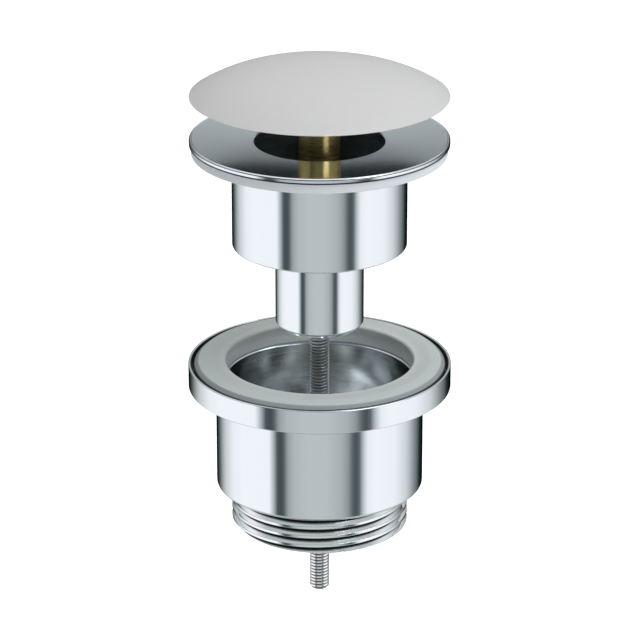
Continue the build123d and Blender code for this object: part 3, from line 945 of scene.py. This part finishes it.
def make_sleeve():
    """Chromed sleeve with its screwed spigot and the bolt's seat."""
    hole = bolt_radius + 0.45 * MM
    groove = bolt_radius + 1.475 * MM
    groove_depth = 1.25 * MM
    bevel = 0.9 * MM
    seat = sleeve_bottom + sleeve_floor
    corners = [
        (hole, sleeve_bottom, 0.3 * MM),
        (sleeve_radius - bevel, sleeve_bottom, 0.3 * MM),
        (sleeve_radius, sleeve_bottom + bevel, 0.5 * MM),
        (sleeve_radius, collar_bottom, 0.1 * MM),
        (sleeve_spigot_radius, collar_bottom, 0.1 * MM),
        (sleeve_spigot_radius, sleeve_top, 0.2 * MM),
        (sleeve_bore_radius, sleeve_top, 0.2 * MM),
        (sleeve_bore_radius, seat, 0.2 * MM),
        (groove, seat, 0.1 * MM),
        (groove, seat - groove_depth, 0.1 * MM),
        (hole, seat - groove_depth, 0.1 * MM),
    ]
    bm = bmesh.new()
    lathe(bm, rounded(corners))
    new_piece("sleeve", bm, chrome, "waste", ["centre_sleeve"])


def make_bolt():
    """The long clamping bolt: a true right-hand thread, a low head and a hexagon socket."""
    columns = 48
    root = bolt_radius - bolt_thread_depth
    inner = root - 0.15 * MM
    head = bmesh.new()
    corners = [
        (0, washer_top),
        (bolt_head_radius, washer_top, 0.15 * MM),
        (bolt_head_radius, bolt_head_top, 0.4 * MM),
        (0, bolt_head_top),
    ]
    lathe(head, rounded(corners, closed=False), closed=False, columns=64)
    socket = []
    for corner in range(6):
        angle = math.pi * corner / 3
        socket.append((bolt_socket_radius * math.cos(angle), bolt_socket_radius * math.sin(angle)))
    past_head = 1 * MM
    bm = cut_with(head, [prism(socket, bolt_head_top - bolt_socket_depth, bolt_head_top + past_head)])
    section = thread_section(
        bolt_pitch, bolt_thread_depth, crest_flat=0.40 * MM, root_flat=0.06 * MM, rounding=0.05 * MM
    )

    def tip_chamfer(height):
        return bolt_radius - bolt_tip_chamfer + (height - bolt_tip)

    helix(bm, root, bolt_pitch, bolt_tip, bolt_tip, washer_top, inner, columns, section, tip_chamfer)
    lathe(bm, [(0, bolt_tip), (inner, bolt_tip)], closed=False, columns=columns)
    bmesh.ops.remove_doubles(bm, verts=bm.verts[:], dist=1e-6)
    new_piece("bolt", bm, steel, "bolt", ["clamp_bolt"], sharp=50)


def make_seal():
    """Grey rubber seal: a soft crown, a bevelled outer edge and a rounded inner lip."""
    corners = [
        (seal_inner_radius + 0.5 * MM, seal_seat, 0.15 * MM),
        (seal_outer_radius, seal_seat, 0.2 * MM),
        (seal_outer_radius, seal_top - 1.3 * MM, 0.3 * MM),
        (seal_outer_radius - 1.1 * MM, seal_top - 0.35 * MM, 0.3 * MM),
        (seal_outer_radius - 2.9 * MM, seal_top - 0.1 * MM, 4.0 * MM),
        (seal_outer_radius - 3.6 * MM, seal_top, 3.0 * MM),
        (seal_inner_radius + 0.4 * MM, seal_top - 0.1 * MM, 0.3 * MM),
        (seal_inner_radius, seal_top - 0.5 * MM, 0.3 * MM),
        (seal_inner_radius + 1.1 * MM, seal_top - 2.4 * MM, 1.2 * MM),
        (seal_inner_radius + 0.15 * MM, seal_seat + 0.35 * MM, 0.2 * MM),
    ]
    bm = bmesh.new()
    lathe(bm, rounded(corners))
    new_piece("seal", bm, seal_rubber, "clamp", ["lower_seal"], sharp=60)


def make_lower_body():
    """Clamp body: seal ring, cup, threaded outlet with its helix, and the spider."""
    core = thread_root_radius - 0.05 * MM
    end_bevel = 0.4 * MM
    rim_inside = clamp_ring_radius - clamp_rim_wall
    corners = [
        (outlet_bore_radius, thread_bottom, 0.3 * MM),
        (core - end_bevel, thread_bottom, 0.1 * MM),
        (core, thread_bottom + end_bevel, 0.1 * MM),
        (core, cup_bottom, 0.3 * MM),
        (cup_radius, cup_bottom, 0.7 * MM),
        (cup_radius, clamp_ring_bottom, 0.2 * MM),
        (clamp_ring_radius, clamp_ring_bottom, 0.2 * MM),
        (clamp_ring_radius, clamp_rim_top, 0.2 * MM),
        (rim_inside, clamp_rim_top, 0.2 * MM),
        (rim_inside, seal_seat, 0.2 * MM),
        (cup_bore_radius, seal_seat, 0.5 * MM),
        (cup_bore_radius, cup_floor_top, 1.2 * MM),
        (outlet_bore_radius, cup_floor_top, 0.4 * MM),
    ]
    bm = bmesh.new()
    lathe(bm, rounded(corners))
    thread_depth = thread_crest_radius - thread_root_radius
    section = thread_section(
        thread_pitch, thread_depth, crest_flat=0.62 * MM, root_flat=0.30 * MM, rounding=0.10 * MM
    )
    # The first groove's height is stated at the front, three quarters of a turn from the +X side
    front_lead = 0.75 * thread_pitch
    broken_edge = 0.12 * MM
    run_out_slope = 1.9

    def thread_ends(height):
        """Breaks the sharp edge at the outlet's end and clears the neck below the cup."""
        at_outlet = thread_crest_radius - broken_edge + (height - thread_bottom)
        return min(at_outlet, core + run_out_slope * (cup_bottom - height))

    # The thread is welded by itself before it joins the shell
    bm_thread = bmesh.new()
    helix(
        bm_thread,
        thread_root_radius,
        thread_pitch,
        thread_bottom + thread_first_groove - front_lead,
        thread_bottom,
        cup_bottom,
        core - end_bevel,
        COLUMNS,
        section,
        thread_ends,
    )
    thread_mesh = bpy.data.meshes.new("thread")
    bm_thread.to_mesh(thread_mesh)
    bm_thread.free()
    bm.from_mesh(thread_mesh)
    bpy.data.meshes.remove(thread_mesh)
    boss_bottom = thread_bottom + boss_set_back
    bush_hole = bush_radius + 0.05 * MM
    boss = [
        (bush_hole, boss_bottom, 0.2 * MM),
        (boss_radius, boss_bottom, 0.5 * MM),
        (boss_radius, boss_bottom + boss_height, 0.5 * MM),
        (bush_hole, boss_bottom + boss_height, 0.2 * MM),
    ]
    lathe(bm, rounded(boss), columns=96)
    spoke_bottom = boss_bottom + (boss_height - spoke_height) / 2
    first_spoke = math.radians(60)
    half = spoke_width / 2
    bite = 0.4 * MM
    inside = boss_radius - bite
    outside = outlet_bore_radius + bite
    for spoke in range(spoke_count):
        turn = Matrix.Rotation(first_spoke + 2 * math.pi * spoke / spoke_count, 4, "Z")
        section = rounded(
            [
                (-half, spoke_bottom, 0.6 * MM),
                (half, spoke_bottom, 0.6 * MM),
                (half, spoke_bottom + spoke_height, 1.0 * MM),
                (-half, spoke_bottom + spoke_height, 1.0 * MM),
            ],
            guard=0.1 * MM,
        )
        near = [bm.verts.new(turn @ Vector((inside, side, height))) for side, height in section]
        far = [bm.verts.new(turn @ Vector((outside, side, height))) for side, height in section]
        bridge(bm, near, far)
        bm.faces.new(near[::-1])
        bm.faces.new(far)
    piece = new_piece("clamp_shell", bm, chrome, "clamp", ["lower_body"], sharp=38)

    def finish(radius, height, outward, upward):
        on_thread = core - SLACK < radius < thread_crest_radius + SLACK
        if on_thread and height < cup_bottom + 0.01 * MM:
            return thread_plate
        in_height = thread_bottom + SLACK < height < seal_seat - 0.6 * MM
        if in_height and radius < cup_bore_radius + SLACK and outward < 0.3:
            return cup_metal
        # The ring's inside wall takes the dark finish, painted shade.
        in_rim = seal_seat - SLACK < height < clamp_rim_top - SLACK and outward < -0.5
        return shaded_bore_metal if in_rim else chrome

    finish_faces(piece.data, [chrome, thread_plate, cup_metal, shaded_bore_metal], finish)


make_cap()
make_rod()
make_spring()
make_upper_body()
make_gasket()
make_sleeve()
make_bolt()
make_seal()
make_lower_body()


# Stage: floor, studio light and the camera

def make_floor():
    """Wide pale floor below the waste. Rays from the camera see it as white, shadows included."""
    drop = 30 * MM
    size = 6.0
    lift_to_white = 0.6
    bm = bmesh.new()
    bmesh.ops.create_grid(bm, x_segments=1, y_segments=1, size=size)
    bmesh.ops.translate(bm, verts=bm.verts[:], vec=(0, 0, bolt_tip - drop))
    floor = object_of("floor", bm)
    made, graph, shader = material("floor_white", (0.9, 0.9, 0.9, 1.0), 0.9, specular=0.0)
    path = graph.add("ShaderNodeLightPath")
    glow = graph.add("ShaderNodeEmission")
    glow.inputs["Color"].default_value = (1.0, 1.0, 1.0, 1.0)
    rays = graph.math("ADD", path.outputs["Is Camera Ray"], path.outputs["Is Glossy Ray"])
    rays = graph.math("ADD", rays, path.outputs["Is Transmission Ray"], clamp=True)
    graph.join(graph.math("MULTIPLY", rays, lift_to_white), glow.inputs["Strength"])
    both = graph.add("ShaderNodeAddShader")
    graph.join(shader.outputs["BSDF"], both.inputs[0])
    graph.join(glow.outputs[0], both.inputs[1])
    graph.join(both.outputs[0], made.node_tree.nodes["Material Output"].inputs["Surface"])
    floor.data.materials.append(made)
    floor.visible_glossy = False


def make_tent_cloth():
    """What the tent shows in each direction, by azimuth from the front and by elevation."""
    spot_direction = Vector((0.62, -0.45, 0.64)).normalized()
    spot_edge, spot_core = 30, 18
    spot_strength = 4.7
    low_box_azimuth = 36
    low_box_strength = 3.0
    low_box_level = 246
    ground_middle, ground_edge = 50, 186

    made = bpy.data.materials.new("studio_cloth")
    made.use_nodes = True
    made.node_tree.nodes.clear()
    graph = Graph(made.node_tree)

    def fade(angle, start, end):
        """Rises from 0 to 1 between two angles in degrees."""
        return graph.spread(angle, math.radians(start), math.radians(end))

    place = graph.add("ShaderNodeTexCoord").outputs["Object"]
    unit = graph.add("ShaderNodeVectorMath", operation="NORMALIZE")
    graph.join(place, unit.inputs[0])
    parts = graph.add("ShaderNodeSeparateXYZ")
    graph.join(unit.outputs["Vector"], parts.inputs[0])
    to_camera = graph.math("MULTIPLY", parts.outputs["Y"], -1.0)
    azimuth = graph.math("ARCTAN2", parts.outputs["X"], to_camera)
    elevation = graph.math("ARCSINE", parts.outputs["Z"])

    walls = ramp(graph, fade(azimuth, -180, 180), -180, 180, [
        (-180, 0), (-160, 18), (-150, 84), (-142, 140), (-130, 201), (-112, 237), (-96, 244),
        (-58, 243), (-53, 188), (-48, 88), (-44, 74), (-40, 92), (-35, 160), (-28, 182),
        (-14, 191), (8, 190), (24, 175), (31, 152), (37, 98), (41, 80), (45, 104), (50, 196),
        (55, 236), (64, 244), (92, 240), (112, 210), (130, 142), (148, 48), (160, 6), (180, 0),
    ])
    back_sky = ramp(graph, fade(elevation, 0, 90), 0, 90, [
        (0, 40), (8, 84), (15, 130), (21, 168), (27, 188), (45, 212), (65, 230), (90, 234),
    ])
    front_sky = ramp(graph, fade(elevation, 0, 90), 0, 90, [
        (0, 120), (6, 92), (32, 96), (48, 170), (60, 226), (90, 234),
    ])
    to_front = fade(graph.math("ABSOLUTE", azimuth), 88, 58)
    sky = graph.mix(to_front, back_sky, front_sky)
    aside = graph.math("SUBTRACT", azimuth, math.radians(low_box_azimuth))
    across = fade(graph.math("ABSOLUTE", aside), 18, 10)
    upright = graph.math("MULTIPLY", fade(elevation, 1, 4), fade(elevation, 17, 11))
    low_box = graph.math("MULTIPLY", across, upright)
    sky = graph.mix(low_box, sky, seen(low_box_level))
    room = graph.mix(fade(elevation, 0, 5), walls, sky)
    ground = graph.mix(fade(elevation, -84, -56), seen(ground_middle), seen(ground_edge))
    room = graph.mix(fade(elevation, -38, -28), ground, room)

    glow = graph.add("ShaderNodeEmission")
    graph.join(room, glow.inputs["Color"])
    toward = graph.add("ShaderNodeVectorMath", operation="DOT_PRODUCT")
    graph.join(unit.outputs["Vector"], toward.inputs[0])
    toward.inputs[1].default_value = spot_direction
    in_spot = graph.spread(
        toward.outputs["Value"], math.cos(math.radians(spot_edge)), math.cos(math.radians(spot_core))
    )
    strength = graph.math("ADD", tent_strength, graph.math("MULTIPLY", in_spot, spot_strength))
    from_low_box = graph.math("MULTIPLY", low_box, low_box_strength)
    graph.join(graph.math("ADD", strength, from_low_box), glow.inputs["Strength"])
    end = graph.add("ShaderNodeOutputMaterial")
    graph.join(glow.outputs[0], end.inputs["Surface"])
    return made


def make_studio():
    """A tent round the scene that only reflections and light see: a grey card behind the camera
    between two dark strips, wide bright boxes at both sides, black behind the object, a dark ground,
    a grey sky that brightens overhead, a soft box high to the front and right, and below it a small
    low one for the brass rod."""
    reach = 4.0
    middle_height = -40 * MM
    bm = bmesh.new()
    bmesh.ops.create_uvsphere(bm, u_segments=96, v_segments=48, radius=reach)
    bmesh.ops.reverse_faces(bm, faces=bm.faces[:])
    tent = object_of("studio_tent", bm)
    tent.data.shade_smooth()
    tent.data.materials.append(make_tent_cloth())
    tent.location = (0, 0, middle_height)
    tent.visible_camera = False
    tent.visible_shadow = False

    world = bpy.data.worlds.new("white_room")
    bpy.context.scene.world = world
    world.use_nodes = True
    background = world.node_tree.nodes["Background"]
    background.inputs["Color"].default_value = (1.0, 1.0, 1.0, 1.0)
    background.inputs["Strength"].default_value = 1.0


def make_camera():
    """A long lens in front of the waste that looks down on it a little."""
    pitch = math.radians(21.3)
    distance = 0.7993
    target = Vector((0.0001, 0, -0.0416))
    data = bpy.data.cameras.new("camera")
    data.sensor_width = 36
    data.lens = 191.25
    data.clip_end = 50
    camera = bpy.data.objects.new("camera", data)
    camera.location = target + Vector((0, -math.cos(pitch), math.sin(pitch))) * distance
    camera.rotation_euler = (target - camera.location).to_track_quat("-Z", "Y").to_euler()
    bpy.context.scene.collection.objects.link(camera)
    bpy.context.scene.camera = camera


make_floor()
make_studio()
make_camera()
bpy.context.scene.view_settings.view_transform = "Standard"
